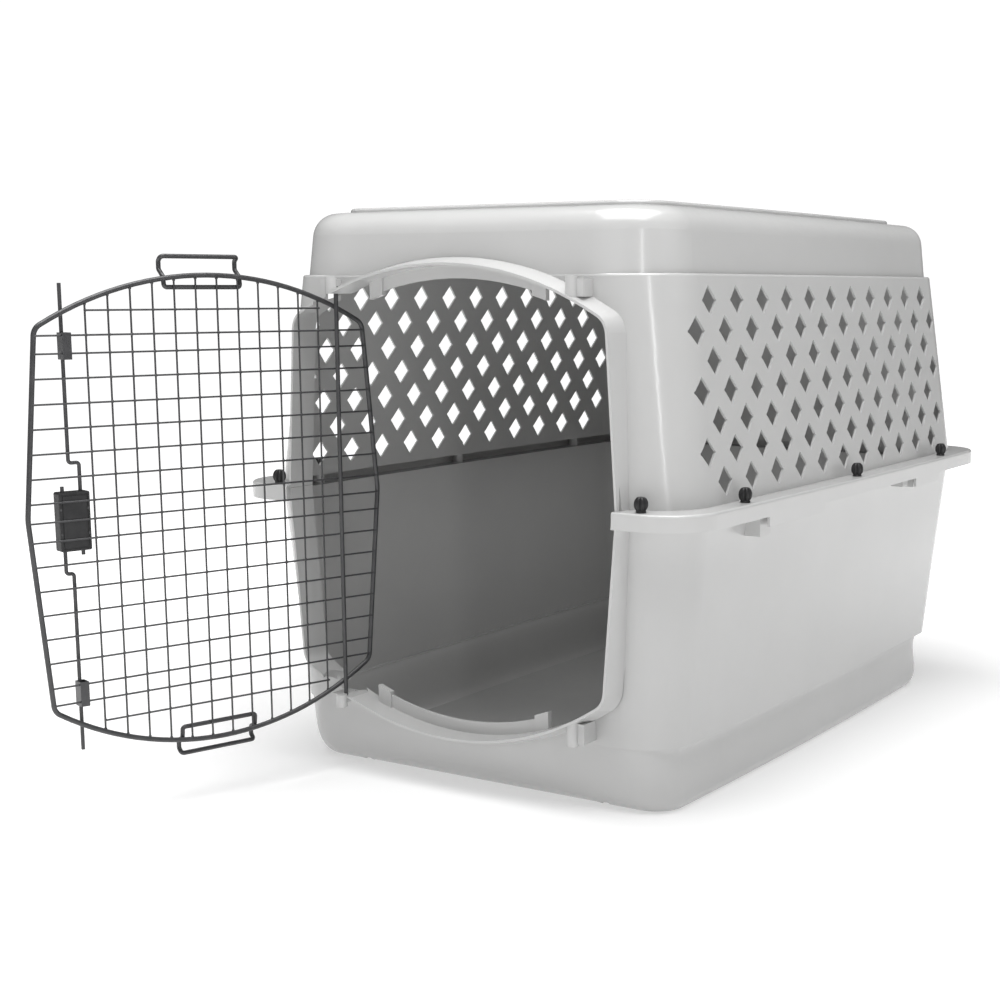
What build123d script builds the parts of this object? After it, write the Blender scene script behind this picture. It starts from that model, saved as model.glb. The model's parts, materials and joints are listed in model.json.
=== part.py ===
"""Pet transport carrier: two moulded plastic half shells bolted at a mid flange, with a hinged
wire door held by two spring-loaded latch rods. The door stands open.

Frame: X to the right seen from the front, Y to the rear, Z up, millimetres.
Origin: on the floor, under the middle of the base.
"""
from build123d import *
import math
import os

# ---- shells -------------------------------------------------------------------------------
T = 2.5                      # moulded wall
BOW = 6.0                    # outward bow of each side at mid length
PART_Z = 337.1               # parting plane of the two shells
GAP = 0.2                    # half of the gap between the shells
RIM_TOP = 340.5              # top face of the upper flange
SKIRT_Z = 322.0              # lower edge of the upper flange's skirt
SEAM_Z = 325.0               # top of the lower flange plate; above it the seam is open inward
LEDGE_Z = 584.0              # where the roof starts
ROOF_Z = 655.0
PANEL_Z = 661.0
STEP_Z = 77.0                # step low on the sides and the rear
# plan sections: height, half width, front y, rear y, front corner radius, rear corner radius
BASE = [(0, 247, -370, 380, 34, 60), (7, 252.5, -379, 388, 40, 60),
        (24, 255.5, -391, 392, 46, 60), (STEP_Z, 257.5, -403, 394, 54, 60)]
LOWER = [(STEP_Z, 262.8, -403.1, 400, 58, 60), (PART_Z, 286.9, -417, 419, 62, 62)]
UPPER = [(PART_Z, 286.9, -417, 419, 64, 62), (LEDGE_Z, 258.6, -409, 388, 74, 52)]
ROOF = [(LEDGE_Z - 5, 252.0, -408.8, 386, 78, 52), (ROOF_Z, 245, -402, 380, 76, 50)]
PANEL = (ROOF_Z - 2, 210, -356, 338, 38, 40)
FLANGE = (SKIRT_Z, 312.0, -442.5, 447, 60, 64)

# ---- door opening and collar ---------------------------------------------------------------
LIP_Y = -435.0               # front edge of the collar
COLLAR_T = 5.5
LIP_T, FLARE_T = 2.8, 9.0     # collar thickness at its front edge and at the front wall
FLARE_Y = -408.0
COLLAR_BACK = -397.0
OPEN_X = -3.0                # middle of the opening
OPEN_MID = (223.0, 334.0)    # half width and height of the widest point
OPEN_TOP = (210.0, 534.0, 593.4)     # half width and height of the top corner, apex height
OPEN_BOT = (207.0, 133.0, 66.0)

# ---- side vents ----------------------------------------------------------------------------
VENT_PITCH = 61.9
VENT_ROW = 31.83
VENT_Y0 = -346.5             # first column of the even rows
VENT_Z0 = 556.0              # top row
VENT_W, VENT_H = 31.0, 32.5

# ---- flange fasteners ----------------------------------------------------------------------
BOLT_XY = [(248.0, -429.5), (302.0, -299.0), (304.8, 0.0), (302.0, 299.0)]
BOLT_R = 3.0
HEAD_R, BOSS_R = 5.4, 7.2
NUT_R, NUT_TOP = 7.7, RIM_TOP + 16.5
CATCHES = [(-270.0, -244.0, 299.5), (150.0, 168.0, 312.0), (188.0, 256.0, 308.0)]
LIPS = [(-266.0, -125.0), (170.0, 256.0)]    # deeper stretches of the skirt
LIP_DROP = 11.0

# ---- door ----------------------------------------------------------------------------------
HINGE_X, HINGE_Y = -162.0, -420.0
OPEN_DEG = 106.85            # how far the door stands open
LEAF = 5.5                   # mesh plane, outward of the hinge axis
HINGE_R = 2.5
HINGE_Z = (90.0, 571.0)
FRAME_R = 2.75
FRAME_U = 158.0              # middle of the door frame, from the hinge axis
FRAME_MID = (212.5, 334.0)
FRAME_TOP = (195.5, 528.5, 582.5)
FRAME_BOT = (195.5, 130.5, 70.8)
MESH_R = 1.05
MESH_U0, MESH_PITCH, MESH_N = 21.4, 25.2, 12
MESH_Z = [546.3, 521.1, 502.7, 477.4, 451.7, 426.6, 401.1, 375.9, 350.4, 330.7,
          310.5, 285.2, 259.5, 234.1, 208.6, 182.8, 156.0, 137.4, 113.0]
ROD_R = 2.0
ROD_U = 322.5                # outer runs of both latch rods
ROD_W = LEAF + 5.2           # rod plane, outward of the hinge axis
UPPER_ROD_U, LOWER_ROD_U = 311.0, 330.7      # inside the latch
UPPER_ROD_Z = (293.0, 390.0, 574.0)          # stub end, jog, bolt end
LOWER_ROD_Z = (366.0, 274.0, 84.0)
LATCH_U, LATCH_Z = (304.1, 337.6), (298.5, 360.5)
SOCKET_R = 2.6
LATCH_FACE, LATCH_BACK = LEAF + 12.0, LEAF - 1.6
RIVET_R, RIVET_IN = 1.3, (1.9, 18.0)  # radius, and distance in from the sides and the ends
SPRING_R, SPRING_WIRE = 2.6, 0.45
LOOP_U = (117.0, 207.5)
LOOP_R = 2.5


def plan(z, hx, yf, yr, rf, rr, grow=0.0):
    """Rounded rectangle with bowed sides at height z; grow moves the whole outline outward."""
    hx, yf, yr = hx + grow, yf - grow, yr + grow
    ym = (yf + yr) / 2
    edges = [Line((-hx, yf), (hx, yf)), ThreePointArc((hx, yf), (hx + BOW, ym), (hx, yr)),
             Line((hx, yr), (-hx, yr)), ThreePointArc((-hx, yr), (-hx - BOW, ym), (-hx, yf))]
    face = make_face(edges)
    face = fillet(face.vertices().sort_by(Axis.Y)[:2], rf + grow)
    face = fillet(face.vertices().filter_by(lambda v: v.Y > ym + 50 and abs(v.X) > hx - 1), rr + grow)
    return Pos(0, 0, z) * face


def body(table, grow=0.0, ruled=True):
    return loft([plan(*row, grow=grow) for row in table], ruled=ruled)


def opening(grow=0.0):
    """Outline of the door opening on the XZ plane, drawn as a sketch in X and Z."""
    mx, mz = OPEN_MID
    tx, tz, ta = OPEN_TOP
    bx, bz, ba = OPEN_BOT
    edges = [Line((bx, bz), (mx, mz)), Line((mx, mz), (tx, tz)),
             ThreePointArc((tx, tz), (0, ta), (-tx, tz)), Line((-tx, tz), (-mx, mz)),
             Line((-mx, mz), (-bx, bz)), ThreePointArc((-bx, bz), (0, ba), (bx, bz))]
    face = make_face(edges)
    corners = [v for v in face.vertices() if abs(v.Y - mz) > 50]
    face = fillet(corners, 22)
    face = fillet([v for v in face.vertices() if abs(v.Y - mz) < 1], 120)
    return Pos(OPEN_X, 0) * (offset(face, grow) if grow else face)


def front_prism(sketch, y0, y1):
    """Extrude a sketch drawn in X and Z from y0 back to y1."""
    return extrude(Plane((0, y1, 0), x_dir=(1, 0, 0), z_dir=(0, -1, 0)) * sketch, y1 - y0)


def block(x0, x1, y0, y1, z0, z1):
    return Pos((x0 + x1) / 2, (y0 + y1) / 2, (z0 + z1) / 2) * Box(x1 - x0, y1 - y0, z1 - z0)


def rod(x, y, z0, z1, r):
    return Pos(x, y, (z0 + z1) / 2) * Cylinder(r, z1 - z0)


def diamond():
    """Vent outline: pointed above and below, blunt at the sides."""
    a, b = VENT_W / 2, VENT_H / 2
    side = [(a * 0.86, b * 0.13), (a * 0.98, b * 0.06), (a * 0.98, -b * 0.06), (a * 0.86, -b * 0.13)]
    back = [(-x, -y) for x, y in side]
    return make_face(Polyline((0, b), *side, (0, -b), *back, (0, b)))


def vents():
    """Staggered vents through both side walls."""
    shape, cuts = diamond(), []
    for row in range(7):
        z = VENT_Z0 - row * VENT_ROW
        for k in range(11 + row % 2):
            y = VENT_Y0 + VENT_PITCH * (k + 0.5 * (1 - row % 2))
            side = Plane((-320, y, z), x_dir=(0, 1, 0), z_dir=(1, 0, 0)) * shape
            cuts.append(extrude(side, 640))
    return cuts


def outer_body():
    """Outside of both shells, without flange or collar."""
    roof = body(ROOF)
    roof = fillet(roof.faces().sort_by(Axis.Z)[-1].edges(), 29)
    panel = extrude(plan(*PANEL), PANEL_Z - PANEL[0])
    panel = fillet(panel.faces().sort_by(Axis.Z)[-1].edges(), 3.5)
    upper = body(UPPER)
    upper = fillet(upper.faces().sort_by(Axis.Z)[-1].edges(), 3)
    return body(BASE, ruled=False) + body(LOWER) + upper + roof + panel


def cavity():
    """Inside of both shells."""
    floor = [(T,) + BASE[0][1:], (T + 7,) + BASE[1][1:], (T + 24,) + BASE[2][1:], BASE[3]]
    roof = body([(LEDGE_Z - T - 5,) + ROOF[0][1:], (ROOF_Z - T,) + ROOF[1][1:]], -T)
    roof = fillet(roof.faces().sort_by(Axis.Z)[-1].edges(), 26.5)
    walls = body([(STEP_Z + T,) + LOWER[0][1:], LOWER[1]], -T)
    walls += extrude(plan(*BASE[3], grow=-T), T + 0.1)
    walls += body([UPPER[0], (LEDGE_Z - T,) + UPPER[1][1:]], -T)
    return body(floor, -T, False) + walls + roof


def collar():
    """Flared ring that frames the opening, with the four rod sockets on its outside."""
    ring = front_prism(opening(COLLAR_T), FLARE_Y, COLLAR_BACK)
    ring += loft([Plane((0, y, 0), x_dir=(1, 0, 0), z_dir=(0, -1, 0)) * opening(t)
                  for y, t in ((LIP_Y, LIP_T), (FLARE_Y, FLARE_T))])
    for sx in (-1, 1):
        x = 162.5 * sx
        for z0, z1 in ((557.0, 581.5), (79.5, 108.0)):
            ring += rod(x, -427.5, z0, z1, 6.5)
            ring += block(min(x, x + 15 * sx), max(x, x + 15 * sx), -428, -400, z0 + 3, z1 - 3)
    return ring


def stops():
    """Stop strips behind the door, under the top of the collar and on the threshold."""
    strip = front_prism(opening(1), -404.0, -401.0) - front_prism(opening(-14), -405.0, -400.0)
    deep = front_prism(opening(1), -407.0, -400.0) - front_prism(opening(-18.5), -408.0, -399.0)
    strip &= block(-112, 108, -407, -399, 540, 620) + block(-112, 108, -407, -399, 50, 130)
    for z0, z1 in ((530, 610), (60, 130)):
        for x in (OPEN_X - 111, OPEN_X + 111):
            strip += deep & block(x - 9, x + 9, -408, -399, z0, z1)
    return strip


def smile_recess(outer):
    """Shallow lens-shaped recess low on the front, with a small notch at each end."""
    lens = make_face([ThreePointArc((-166, -1), (0, 23), (166, -1)), Line((166, -1), (-166, -1))])
    skin = outer - body(BASE, -1.3, False)
    cuts = [front_prism(lens, -430, -330) & skin]
    return cuts + [block(s * 170 - 5, s * 170 + 5, -392, -352, -1, 3) for s in (-1, 1)]


def holes():
    """Blind holes for the hinge rod and the latch rods, and the flange bolt holes."""
    x, y = HINGE_X + ROD_U, HINGE_Y - ROD_W
    cuts = [rod(HINGE_X, HINGE_Y, z0, z1, HINGE_R + 0.1) for z0, z1 in ((550, 573), (88, 125))]
    cuts += [rod(x, y, z0, z1, SOCKET_R) for z0, z1 in ((550, 577), (81, 125))]
    return cuts + bosses(BOLT_R + 0.3, SEAM_Z - 2, RIM_TOP + 2)


def hinge_pockets():
    """Relief in the collar round each end of the hinge, where the door frame swings past."""
    return [rod(HINGE_X, HINGE_Y, z0, z1, 26) for z0, z1 in ((94.5, 140), (520, 562.5))]


def bosses(radius, z0, z1):
    return [rod(s * bx, by, z0, z1, radius) for bx, by in BOLT_XY for s in (-1, 1)]


def upper_flange():
    """Flat rim with a skirt round it; two stretches of each side's skirt hang lower."""
    rim = extrude(plan(*FLANGE), RIM_TOP - SKIRT_Z)
    rim = fillet(rim.faces().sort_by(Axis.Z)[-1].edges(), 3)
    rim -= extrude(plan(*FLANGE, grow=-3.2), PART_Z + GAP - SKIRT_Z)
    low = (SKIRT_Z - LIP_DROP,) + FLANGE[1:]
    band = extrude(plan(*low), LIP_DROP + 1) - extrude(plan(*low, grow=-3.2), LIP_DROP + 1)
    rim += [band & block(-400, 400, y0, y1, 300, 330) for y0, y1 in LIPS]
    near = block(OPEN_X + 224, OPEN_X + 233, -441, -435.3, SKIRT_Z, RIM_TOP)
    return rim + near + Pos(2 * OPEN_X, 0, 0) * mirror(near, Plane.YZ)


def lower_flange():
    """Thin plate under the rim, with a boss at each bolt and catch blocks below."""
    plate = extrude(plan(SEAM_Z - 3, *FLANGE[1:], grow=-3.7), 3)
    plate -= block(OPEN_X - 233.3, OPEN_X + 233.3, -460, -435.2, 0, 400)
    plate += bosses(BOSS_R, SEAM_Z - 3, PART_Z - GAP)
    for s in (-1, 1):
        for y0, y1, z0 in CATCHES:
            plate += block(min(s * 270, s * 306), max(s * 270, s * 306), y0, y1, z0, SEAM_Z - 1)
    return plate - bosses(HEAD_R + 0.3, SEAM_Z - 4, SEAM_Z + 2)


def shells():
    """Both half shells, split at the parting plane, each with its own flange."""
    outer, inner = outer_body(), cavity()
    mouth = front_prism(opening(), -460, COLLAR_BACK + 1)
    whole = outer - inner + collar() - mouth - hinge_pockets() + stops()
    top = whole & block(-400, 400, -500, 500, PART_Z + GAP, 700)
    bottom = whole & block(-400, 400, -500, 500, -10, PART_Z - GAP)
    bottom -= block(-400, 400, -385, 500, SEAM_Z, 400)

    wedge = make_face(Polyline((-432, RIM_TOP), (-427.5, RIM_TOP), (-429.3, 367), (-432, RIM_TOP)))
    slits = [extrude(Plane((OPEN_X + s * 224, 0, 0), x_dir=(0, 1, 0), z_dir=(1, 0, 0)) * wedge, s * 12)
             for s in (-1, 1)]
    top += upper_flange() - inner - mouth
    top -= holes() + slits
    top -= vents()
    bottom += lower_flange() - inner - mouth
    bottom -= holes()
    bottom -= smile_recess(outer)
    return top, bottom


def at_hinge(shape):
    """Door parts are drawn closed, X from the hinge axis and -Y outward, then swung open."""
    return Pos(HINGE_X, HINGE_Y, 0) * Rot(0, 0, -OPEN_DEG) * shape


def bar(u0, u1, w, z, r):
    return Pos((u0 + u1) / 2, -w, z) * Rot(0, 90, 0) * Cylinder(r, u1 - u0)


def bent_wire(points, radius, r, close=False):
    """Round wire along a polyline with rounded corners; points are (u, w, z)."""
    path = FilletPolyline(*[(u, -w, z) for u, w, z in points], radius=radius, close=close)
    return sweep(Plane(path @ 0, z_dir=path % 0) * Circle(r), path=path)


def frame_outline():
    m, mz = FRAME_MID
    t, tz, ta = FRAME_TOP
    b, bz, ba = FRAME_BOT
    face = make_face([Line((b, bz), (m, mz)), Line((m, mz), (t, tz)),
                      ThreePointArc((t, tz), (0, ta), (-t, tz)), Line((-t, tz), (-m, mz)),
                      Line((-m, mz), (-b, bz)), ThreePointArc((-b, bz), (0, ba), (b, bz))])
    face = fillet([v for v in face.vertices() if abs(v.Y - mz) > 50], 14)
    return fillet([v for v in face.vertices() if abs(v.Y - mz) < 1], 60)


def door_frame():
    sketch = Plane((FRAME_U, -LEAF, 0), x_dir=(1, 0, 0), z_dir=(0, -1, 0)) * frame_outline()
    path = sketch.faces()[0].outer_wire()
    return sweep(Plane(path @ 0, z_dir=path % 0) * Circle(FRAME_R), path=path)


def spans(outline, vertical, at):
    """Where a straight wire at this position meets the frame's centre line."""
    line = Line((at, -10), (at, 700)) if vertical else Line((-300, at), (300, at))
    box = (outline & line).bounding_box()
    return (box.min.Y, box.max.Y) if vertical else (box.min.X, box.max.X)


def mesh():
    outline = frame_outline()
    last = MESH_U0 + MESH_PITCH * (MESH_N - 1)
    upright, level = [], []
    for k in range(MESH_N):
        u = MESH_U0 + MESH_PITCH * k
        z0, z1 = spans(outline, True, u - FRAME_U)
        upright.append(rod(u, -LEAF, z0, z1, MESH_R))
    for k, z in enumerate(MESH_Z):
        u0, u1 = (v + FRAME_U for v in spans(outline, False, z))
        if k in (0, len(MESH_Z) - 1):
            u0, u1 = MESH_U0 - 1.5, last + 1.5
        level.append(bar(u0, u1, LEAF - 2.05, z, MESH_R))
    return upright, level


def latch_rod(inside_u, stub, jog, bolt):
    points = [(inside_u, ROD_W, stub), (inside_u, ROD_W, jog), (ROD_U, ROD_W, jog), (ROD_U, ROD_W, bolt)]
    return bent_wire(points, 3.2, ROD_R)


def loop(z_in, z_cross, z_lip, z_over, z_out):
    """Rounded wire loop that bridges the frame and reaches over the front of the collar."""
    u0, u1 = LOOP_U
    side = [(3.5, z_in), (5.15, z_cross), (14.4, z_lip), (14.4, z_over), (8.5, z_out)]
    points = [(u1, LEAF + w, z) for w, z in side] + [(u0, LEAF + w, z) for w, z in side[::-1]]
    return bent_wire(points, 3.4, LOOP_R, close=True)


def rod_guide(z0, z1):
    """Folded strip clamped round two mesh wires, with the latch rod passing through it."""
    u0, u1, w0, w1 = 316.3, 326.0, LEAF - 4.4, ROD_W + 3.6
    strip = block(u0, u1, -w1, -w0, z0, z1) - block(u0 + 1.2, u1 - 1.2, -w1 + 1.2, -w0 - 1.0, 0, 700)
    return strip


def latch_covers():
    """Back cover on the cabin side and front cover on the outside, clamped round the wires."""
    (u0, u1), (z0, z1) = LATCH_U, LATCH_Z
    back = block(u0, u1, 0.4 - LEAF, -LATCH_BACK, z0, z1)
    back = fillet(back.edges().filter_by(Axis.Y), 2)
    panel = block(u0 + 4.2, u1 - 4.2, -8, 0, z0 + 4.2, z1 - 4.2)
    back -= block(u0 + 2.2, u1 - 2.2, -LATCH_BACK - 0.7, 0, z0 + 2.2, z1 - 2.2) - panel
    for z in MESH_Z[8:11]:
        back -= bar(u0 - 1, u1 + 1, LEAF - 2.05, z, MESH_R + 0.05)
    front = block(u0, u1, -LATCH_FACE, 0.2 - LEAF, z0, z1)
    front = fillet(front.edges().filter_by(Axis.Y), 2)
    front = fillet(front.faces().sort_by(Axis.Y)[0].outer_wire().edges(), 1.2)
    front -= block(u0 + 2, u1 - 2, 2 - LATCH_FACE, -LEAF - 1.2, z0 + 2, z1 - 2)
    front -= block(u0 + 6.5, u1 - 6.5, -LATCH_FACE - 1, 3 - LATCH_FACE, z0 + 2.3, z1 - 2.3)
    for u in (UPPER_ROD_U, LOWER_ROD_U):
        front -= rod(u, -ROD_W, z0 - 1, z1 + 1, ROD_R + 0.4)
    for u, z in rivet_spots():
        front += block(u - 1.9, u + 1.9, 1 - LATCH_FACE, -LEAF - 0.3, z - 2.9, z + 2.9)
    holes_at = latch_rivets(RIVET_R + 0.05, 1.0)
    return back - holes_at, front - holes_at


def rivet_spots():
    (u0, u1), (z0, z1), (du, dz) = LATCH_U, LATCH_Z, RIVET_IN
    return [(u, z) for u in (u0 + du, u1 - du) for z in (z0 + dz, z1 - dz)]


def latch_rivets(r=RIVET_R, extra=0.0):
    """Four flush rivets through both covers."""
    shape = Rot(90, 0, 0) * Cylinder(r, LATCH_FACE - LATCH_BACK + extra)
    return [Pos(u, -(LATCH_FACE + LATCH_BACK) / 2, z) * shape for u, z in rivet_spots()]


def grip(side, bore_u):
    """Finger grip on a latch rod: a carrier inside the cover and a tab out through its face."""
    (u0, u1), (z0, z1) = LATCH_U, LATCH_Z
    half = (u0 + 4.3, 320.4) if side > 0 else (322.0, u1 - 4.3)
    z_in, z_out = (z1 - 9, z1 - 2.8) if side > 0 else (z0 + 2.8, z0 + 9)
    carrier = block(*half, 2.6 - LATCH_FACE, -LEAF - 1.6, z_in, z_out)
    tab = block(u0 + 7, u1 - 7, -LATCH_FACE - 5.5, 2.6 - LATCH_FACE + 0.5, z_in + 0.8, z_out)
    tab = fillet(tab.edges().filter_by(Axis.X).group_by(Axis.Y)[0], 1.8)
    return carrier + tab - rod(bore_u, -ROD_W, z0 - 9, z1 + 9, ROD_R)


def spring(u, z0, z1):
    """Coil spring that pushes a grip back to its end of the latch."""
    coil = Helix(pitch=5.0, height=z1 - z0 - 1.0, radius=SPRING_R)
    wire = sweep(Plane(coil @ 0, z_dir=coil % 0) * Circle(SPRING_WIRE), path=coil)
    return Pos(u, -ROD_W, z0 + 0.5) * wire


def fasteners():
    """Bolts up through both flanges, heads sunk in the bosses, and thumb nuts on top."""
    bolts, nuts = [], []
    low = SEAM_Z + 1.95
    for x, y in [(s * bx, by) for bx, by in BOLT_XY for s in (-1, 1)]:
        bolts.append(rod(x, y, low - 3.2, low, HEAD_R) + rod(x, y, low, NUT_TOP - 1, BOLT_R))
        knob = extrude(Pos(x, y, RIM_TOP + 2.5) * RegularPolygon(NUT_R, 10), NUT_TOP - RIM_TOP - 2.5)
        knob = chamfer(knob.faces().sort_by(Axis.Z)[-1].edges(), 3)
        knob = chamfer(knob.faces().sort_by(Axis.Z)[0].edges(), 2)
        foot = rod(x, y, RIM_TOP + 0.05, RIM_TOP + 4, 5.6)
        nuts.append(knob + foot - rod(x, y, RIM_TOP - 1, NUT_TOP + 1, BOLT_R + 0.02))
    return bolts, nuts


def save(name, shapes):
    shapes = shapes if isinstance(shapes, list) else [shapes]
    solids = [s for shape in shapes for s in shape.solids()]
    export_step(solids[0] if len(solids) == 1 else Compound(children=solids), f"parts/{name}.step")


def main():
    os.makedirs("parts", exist_ok=True)
    top, bottom = shells()
    save("top_shell", top)
    save("bottom_shell", bottom)
    bolts, nuts = fasteners()
    save("flange_bolts", bolts)
    save("thumb_nuts", nuts)
    upright, level = mesh()
    back, front = latch_covers()
    z0, z1 = LATCH_Z
    door = {
        "door_frame": door_frame(),
        "door_vertical_wires": upright,
        "door_horizontal_wires": level,
        "hinge_rod": rod(0, 0, *HINGE_Z, HINGE_R),
        "upper_door_loop": loop(569.7, 581, 588.5, 597.5, 602.3),
        "lower_door_loop": loop(88, 75.5, 71, 62, 56.8),
        "upper_rod_guide": rod_guide(496.5, 524),
        "lower_rod_guide": rod_guide(132.5, 159),
        "latch_back_cover": back,
        "latch_front_cover": front,
        "latch_rivets": latch_rivets(),
        "upper_latch_rod": latch_rod(UPPER_ROD_U, *UPPER_ROD_Z),
        "lower_latch_rod": latch_rod(LOWER_ROD_U, *LOWER_ROD_Z),
        "upper_latch_grip": grip(1, UPPER_ROD_U),
        "lower_latch_grip": grip(-1, LOWER_ROD_U),
        "upper_latch_spring": spring(316.5, z0 + 2, z1 - 9),
        "lower_latch_spring": spring(325.2, z0 + 9, z1 - 2),
    }
    for name, shapes in door.items():
        shapes = shapes if isinstance(shapes, list) else [shapes]
        save(name, [at_hinge(shape) for shape in shapes])


if __name__ == "__main__":
    main()
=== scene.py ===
import json
import math

import bmesh
import bpy
from mathutils import Matrix, Vector


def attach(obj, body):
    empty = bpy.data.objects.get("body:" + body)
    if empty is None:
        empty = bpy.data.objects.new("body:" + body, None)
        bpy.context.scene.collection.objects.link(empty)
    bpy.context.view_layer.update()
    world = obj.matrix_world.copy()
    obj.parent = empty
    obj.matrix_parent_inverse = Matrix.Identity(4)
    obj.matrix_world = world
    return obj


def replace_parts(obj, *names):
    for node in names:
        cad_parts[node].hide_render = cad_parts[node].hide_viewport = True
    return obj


# Pet transport carrier: finishes, small details, floor, lights and camera round the CAD frame.
# Metres throughout, in the frame's own axes: X right, Y to the rear, Z up from the floor.
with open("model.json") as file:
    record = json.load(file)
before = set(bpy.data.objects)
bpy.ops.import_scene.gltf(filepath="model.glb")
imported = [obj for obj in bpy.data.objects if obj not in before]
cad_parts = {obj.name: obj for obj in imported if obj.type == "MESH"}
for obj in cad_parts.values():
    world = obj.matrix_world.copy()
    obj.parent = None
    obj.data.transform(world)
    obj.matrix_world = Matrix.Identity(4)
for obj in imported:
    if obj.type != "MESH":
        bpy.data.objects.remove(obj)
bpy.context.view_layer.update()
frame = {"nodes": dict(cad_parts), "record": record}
nodes = frame["nodes"]
scene = bpy.context.scene

# ---- the door's own frame: u along the closed door, w outward, z up; metres ------------------
HINGE = Vector((-0.162, -0.420, 0.0))
OPEN = math.radians(-106.85)
WIRE_U = [0.0214 + 0.0252 * k for k in range(12)]
WIRE_Z = [0.5463, 0.5211, 0.5027, 0.4774, 0.4517, 0.4266, 0.4011, 0.3759, 0.3504, 0.3307,
          0.3105, 0.2852, 0.2595, 0.2341, 0.2086, 0.1828, 0.1560, 0.1374, 0.1130]
WIRE_W = (0.0055, 0.00345)              # centre planes of the upright and the level wires
CROSS_WELD = (0.0018, 0.0012, 0.0018)   # radii of a nugget where two wires cross
FRAME_WELD = (0.0017, 0.0017, 0.0021)   # radii of a nugget where a wire meets the frame
WELD_IN = 0.0029                        # its distance in from the wire's end


def on_door(u, w, z):
    """Point in the frame for a point on the door."""
    return HINGE + Matrix.Rotation(OPEN, 3, "Z") @ Vector((u, -w, z))


# ---- materials ------------------------------------------------------------------------------
def link(tree, a, b):
    """Join an output socket to an input socket."""
    tree.links.new(a, b)


def noise(tree, coords, scale, detail=3.0, roughness=0.5):
    """Noise over the object's own coordinates, 0 to 1."""
    node = tree.nodes.new("ShaderNodeTexNoise")
    node.inputs["Scale"].default_value = scale
    node.inputs["Detail"].default_value = detail
    node.inputs["Roughness"].default_value = roughness
    link(tree, coords, node.inputs["Vector"])
    return node.outputs["Fac"]


def remap(tree, value, low, high, start=0.3, end=0.7):
    """Map start..end to low..high."""
    node = tree.nodes.new("ShaderNodeMapRange")
    node.inputs["From Min"].default_value, node.inputs["From Max"].default_value = start, end
    node.inputs["To Min"].default_value, node.inputs["To Max"].default_value = low, high
    link(tree, value, node.inputs["Value"])
    return node.outputs["Result"]


def bump(tree, height, strength, distance, below=None):
    """Bump from a height, laid over an earlier normal when there is one."""
    node = tree.nodes.new("ShaderNodeBump")
    node.inputs["Strength"].default_value = strength
    node.inputs["Distance"].default_value = distance
    link(tree, height, node.inputs["Height"])
    if below:
        link(tree, below, node.inputs["Normal"])
    return node.outputs["Normal"]


def finish(name, dark, light, patch, rough, rough_scale, bumps, metallic=0.0, coat=0.0):
    """Two close tones in soft patches, uneven roughness and layered bumps.

    dark and light are the tones and patch their noise scale; rough is the lowest and highest
    roughness; each bump is (noise scale, noise detail, strength, height in metres).
    """
    mat = bpy.data.materials.new(name)
    mat.use_nodes = True
    tree = mat.node_tree
    shader = tree.nodes["Principled BSDF"]
    shader.inputs["Metallic"].default_value = metallic
    shader.inputs["Coat Weight"].default_value = coat
    shader.inputs["Coat Roughness"].default_value = 0.1
    coords = tree.nodes.new("ShaderNodeTexCoord").outputs["Object"]
    ramp = tree.nodes.new("ShaderNodeValToRGB")
    ramp.color_ramp.elements[0].position, ramp.color_ramp.elements[1].position = 0.3, 0.7
    ramp.color_ramp.elements[0].color, ramp.color_ramp.elements[1].color = (*dark, 1), (*light, 1)
    link(tree, noise(tree, coords, patch, 5, 0.6), ramp.inputs["Fac"])
    link(tree, ramp.outputs["Color"], shader.inputs["Base Color"])
    uneven = noise(tree, coords, rough_scale, 6, 0.65)
    link(tree, remap(tree, uneven, *rough), shader.inputs["Roughness"])
    normal = None
    for scale, detail, strength, distance in bumps:
        normal = bump(tree, noise(tree, coords, scale, detail), strength, distance, normal)
    link(tree, normal, shader.inputs["Normal"])
    return mat


shell_plastic = finish("shell_plastic", (0.525, 0.525, 0.522), (0.547, 0.547, 0.543), 7, (0.20, 0.27), 9,
                       [(3.5, 2, 0.12, 0.004), (1500, 2, 0.12, 0.0001), (260, 3, 0.06, 0.0001)], coat=0.3)
door_steel = finish("door_steel", (0.034, 0.034, 0.036), (0.056, 0.056, 0.059), 60, (0.30, 0.48), 180,
                    [(420, 3, 0.35, 0.0002), (90, 2, 0.2, 0.0003)], coat=0.15)
black_plastic = finish("black_plastic", (0.010, 0.010, 0.011), (0.020, 0.020, 0.021), 90, (0.38, 0.56), 240,
                       [(1300, 2, 0.4, 0.00012), (150, 3, 0.15, 0.0002)])
zinc_steel = finish("zinc_steel", (0.42, 0.42, 0.44), (0.62, 0.61, 0.58), 160, (0.26, 0.46), 300,
                    [(900, 3, 0.25, 0.0001)], metallic=1.0)
by_slot = {"shell_plastic": shell_plastic, "door_steel": door_steel,
           "black_plastic": black_plastic, "zinc_steel": zinc_steel}
for part in frame["record"]["subparts"]:
    mesh = nodes[part["node"]].data
    mesh.materials.clear()
    mesh.materials.append(by_slot[part["material_slot"]])


# ---- detail pieces --------------------------------------------------------------------------
def add(name, mesh_from, material, body):
    """Turn a bmesh into a smooth-shaded piece that rides on a body."""
    mesh = bpy.data.meshes.new(name)
    mesh_from.to_mesh(mesh)
    mesh_from.free()
    for face in mesh.polygons:
        face.use_smooth = True
    mesh.materials.append(material)
    obj = bpy.data.objects.new(name, mesh)
    scene.collection.objects.link(obj)
    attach(obj, body)
    return obj


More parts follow.
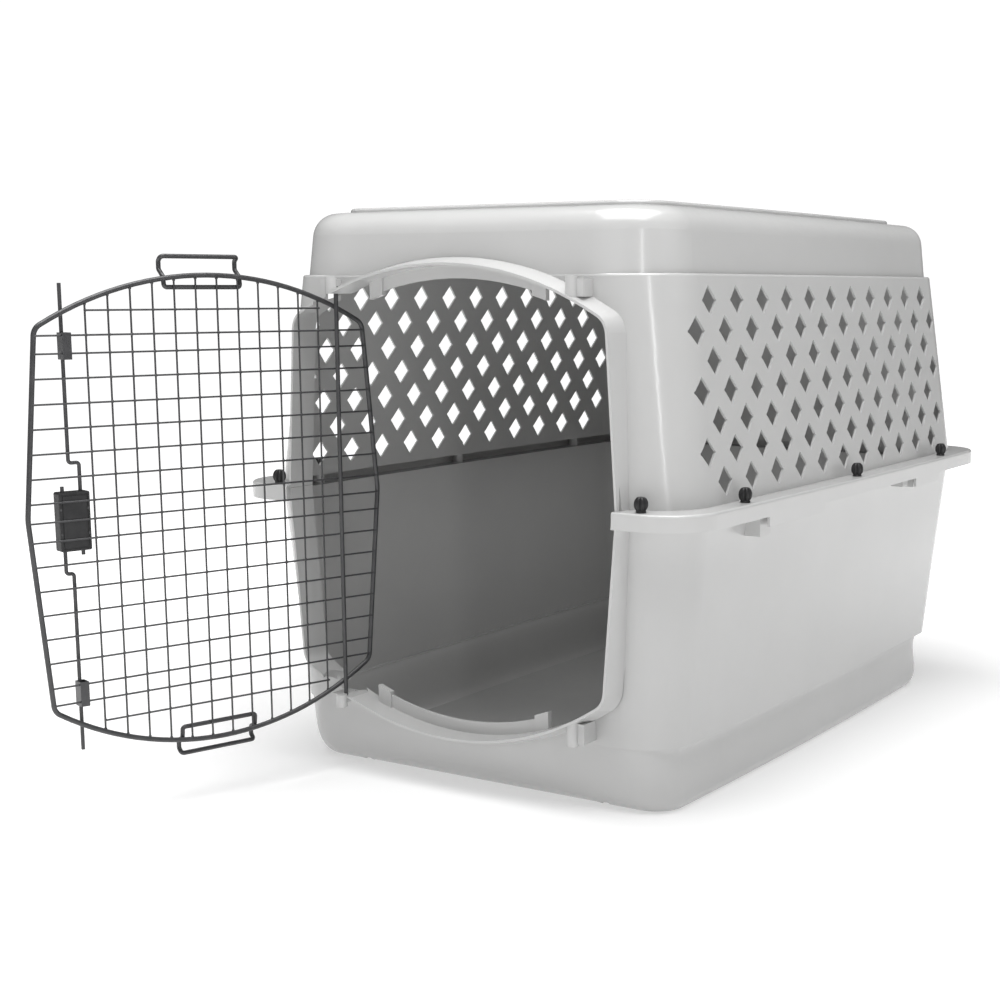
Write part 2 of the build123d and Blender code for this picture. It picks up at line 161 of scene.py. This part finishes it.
def lathe(bm, profile, centre, steps, lobes, depth, lobed):
    """Turned shape from (radius, height) points, lobed between two of its heights."""
    rings = []
    for radius, height in profile:
        ring = []
        for k in range(steps):
            a = 2 * math.pi * k / steps
            cut = depth * (0.5 - 0.5 * math.cos(lobes * a)) ** 2 if lobed[0] <= height <= lobed[1] else 0
            r = max(radius - cut, 1e-5)
            ring.append(bm.verts.new(centre + Vector((r * math.cos(a), r * math.sin(a), height))))
        rings.append(ring)
    for a, b in zip(rings, rings[1:]):
        for k in range(steps):
            bm.faces.new((a[k], a[(k + 1) % steps], b[(k + 1) % steps], b[k]))
    bm.faces.new(rings[0][::-1])
    bm.faces.new(rings[-1])


def islands(node):
    """Lowest and highest corner of each separate solid of a CAD node, from its mesh."""
    mesh = nodes[node].data
    seen, groups = {}, {}
    parent = list(range(len(mesh.vertices)))

    def root(i):
        while parent[i] != i:
            parent[i] = parent[parent[i]]
            i = parent[i]
        return i

    for v in mesh.vertices:
        key = tuple(round(c, 6) for c in v.co)
        parent[root(v.index)] = root(seen.setdefault(key, v.index))
    for e in mesh.edges:
        parent[root(e.vertices[0])] = root(e.vertices[1])
    for v in mesh.vertices:
        groups.setdefault(root(v.index), []).append(v.co)
    return [(Vector(map(min, *g)), Vector(map(max, *g))) for g in groups.values()]


def bead(bm, place, radii):
    """Ellipsoid lined up with the open door."""
    matrix = Matrix.Translation(place) @ Matrix.Rotation(OPEN, 4, "Z") @ Matrix.Diagonal((*radii, 1))
    bmesh.ops.create_icosphere(bm, subdivisions=2, radius=1.0, matrix=matrix)


def weld_spots():
    """Flattened nugget at each wire crossing, and one where each upright wire meets the frame."""
    bm = bmesh.new()
    for u in WIRE_U:
        for z in WIRE_Z:
            bead(bm, on_door(u, sum(WIRE_W) / 2, z), CROSS_WELD)
    add("mesh_weld_spots", bm, door_steel, "door")
    bm = bmesh.new()
    for low, high in islands("door_vertical_wires"):
        mid = (low + high) / 2
        for z in (low.z + WELD_IN, high.z - WELD_IN):
            bead(bm, Vector((mid.x, mid.y, z)), FRAME_WELD)
    add("frame_weld_beads", bm, door_steel, "door")


# radius and height of a thumb nut's outline above its foot, millimetres; the last points are the
# dimple round the bolt's end
NUT_OUTLINE = [(5.2, 0.05), (5.5, 0.4), (5.5, 1.6), (4.9, 2.0), (5.6, 2.9), (6.7, 4.3),
               (7.4, 6.2), (7.7, 8.6), (7.5, 11.0), (6.8, 13.0), (5.7, 14.8), (4.5, 15.9),
               (3.7, 16.3), (3.3, 16.1), (3.1, 15.3), (2.9, 14.6)]
NUT_STEPS, NUT_LOBES, LOBE_DEPTH = 96, 8, 0.0019
LOBED = (0.0024, 0.0158)                # heights between which the lobes run
FOOT_GAP = 0.00005                      # from the rim's top face to the nut's foot


def thumb_nuts():
    """Round nuts with eight finger lobes, standing on the rim in place of the plain CAD nuts."""
    outline = [(r / 1000, h / 1000) for r, h in NUT_OUTLINE]
    bm = bmesh.new()
    for low, high in islands("thumb_nuts"):
        foot = Vector(((low.x + high.x) / 2, (low.y + high.y) / 2, low.z - FOOT_GAP))
        lathe(bm, outline, foot, NUT_STEPS, NUT_LOBES, LOBE_DEPTH, LOBED)
    bmesh.ops.recalc_face_normals(bm, faces=bm.faces)
    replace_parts(add("lobed_nuts", bm, black_plastic, "shell"), "thumb_nuts")


weld_spots()
thumb_nuts()


# ---- stage ----------------------------------------------------------------------------------
FLOOR_HALF, FLOOR_DROP, FLOOR_TONE = 14, 0.0004, (0.60, 0.60, 0.60, 1)
FLOOR_GLOW = (0.42, 1.0)                # glow near the object and far from it
GLOW_SPAN = (0.55, 1.3)                 # distances from the origin between which it changes
AMBIENT, BACKDROP = 0.15, 1.05


def floor():
    """Pale floor; a glow that grows with distance lets it run out into the white backdrop."""
    bm = bmesh.new()
    bmesh.ops.create_grid(bm, x_segments=2, y_segments=2, size=FLOOR_HALF)
    mesh = bpy.data.meshes.new("floor")
    bm.to_mesh(mesh)
    bm.free()
    mat = bpy.data.materials.new("floor")
    mat.use_nodes = True
    tree = mat.node_tree
    shader = tree.nodes["Principled BSDF"]
    shader.inputs["Base Color"].default_value = FLOOR_TONE
    shader.inputs["Roughness"].default_value = 0.7
    shader.inputs["Specular IOR Level"].default_value = 0.1
    shader.inputs["Emission Color"].default_value = (1, 1, 1, 1)
    coords = tree.nodes.new("ShaderNodeTexCoord").outputs["Object"]
    far = tree.nodes.new("ShaderNodeVectorMath")
    far.operation = "LENGTH"
    link(tree, coords, far.inputs[0])
    glow = remap(tree, far.outputs["Value"], *FLOOR_GLOW, *GLOW_SPAN)
    link(tree, glow, shader.inputs["Emission Strength"])
    mesh.materials.append(mat)
    obj = bpy.data.objects.new("floor", mesh)
    obj.location.z = -FLOOR_DROP
    scene.collection.objects.link(obj)


def softbox(name, where, target, wide, high, power):
    """Rectangular light at a place, turned towards a target; power in watts."""
    lamp = bpy.data.lights.new(name, "AREA")
    lamp.shape, lamp.size, lamp.size_y, lamp.energy = "RECTANGLE", wide, high, power
    obj = bpy.data.objects.new(name, lamp)
    obj.visible_camera = False
    obj.location = where
    obj.rotation_euler = (Vector(target) - Vector(where)).to_track_quat("-Z", "Y").to_euler()
    scene.collection.objects.link(obj)


def sky():
    """Even dim light from all round; only the camera sees the brighter white backdrop."""
    world = bpy.data.worlds.new("studio")
    scene.world = world
    world.use_nodes = True
    tree = world.node_tree
    tree.nodes.clear()
    ambient, backdrop = (tree.nodes.new("ShaderNodeBackground") for _ in range(2))
    ambient.inputs["Color"].default_value = backdrop.inputs["Color"].default_value = (1, 1, 1, 1)
    ambient.inputs["Strength"].default_value = AMBIENT
    backdrop.inputs["Strength"].default_value = BACKDROP
    mix, path = tree.nodes.new("ShaderNodeMixShader"), tree.nodes.new("ShaderNodeLightPath")
    link(tree, path.outputs["Is Camera Ray"], mix.inputs["Fac"])
    link(tree, ambient.outputs[0], mix.inputs[1])
    link(tree, backdrop.outputs[0], mix.inputs[2])
    link(tree, mix.outputs[0], tree.nodes.new("ShaderNodeOutputWorld").inputs["Surface"])


floor()
sky()
softbox("overhead", (0.25, -0.6, 2.8), (0.05, -0.1, 0.3), 2.4, 2.2, 106)
softbox("front", (0.1, -3.3, 1.6), (0.0, -0.4, 0.5), 2.3, 0.8, 3)
softbox("right", (3.3, 0.2, 1.6), (0.2, 0, 0.5), 2.0, 0.7, 2.5)
softbox("strip", (2.25, -2.1, 1.0), (0.23, -0.38, 0.6), 0.16, 0.7, 4.5)
# stands for the light that comes through the thin walls
softbox("cabin_fill", (0, 0.05, 0.34), (0, 0.05, 0), 0.36, 0.6, 0.24)
scene.view_settings.view_transform = "Standard"

# ---- camera ---------------------------------------------------------------------------------
LOOK_DOWN, LOOK_LEFT = math.radians(9.382), math.radians(31.71)

lens = bpy.data.cameras.new("camera")
lens.sensor_width, lens.lens = 36, 59.14
lens.shift_x, lens.shift_y = -0.1007, 0.0602
camera = bpy.data.objects.new("camera", lens)
camera.location = (1.09364, -1.87695, 0.56798)
camera.rotation_euler = (math.radians(90) - LOOK_DOWN, 0, LOOK_LEFT)
scene.collection.objects.link(camera)
scene.camera = camera
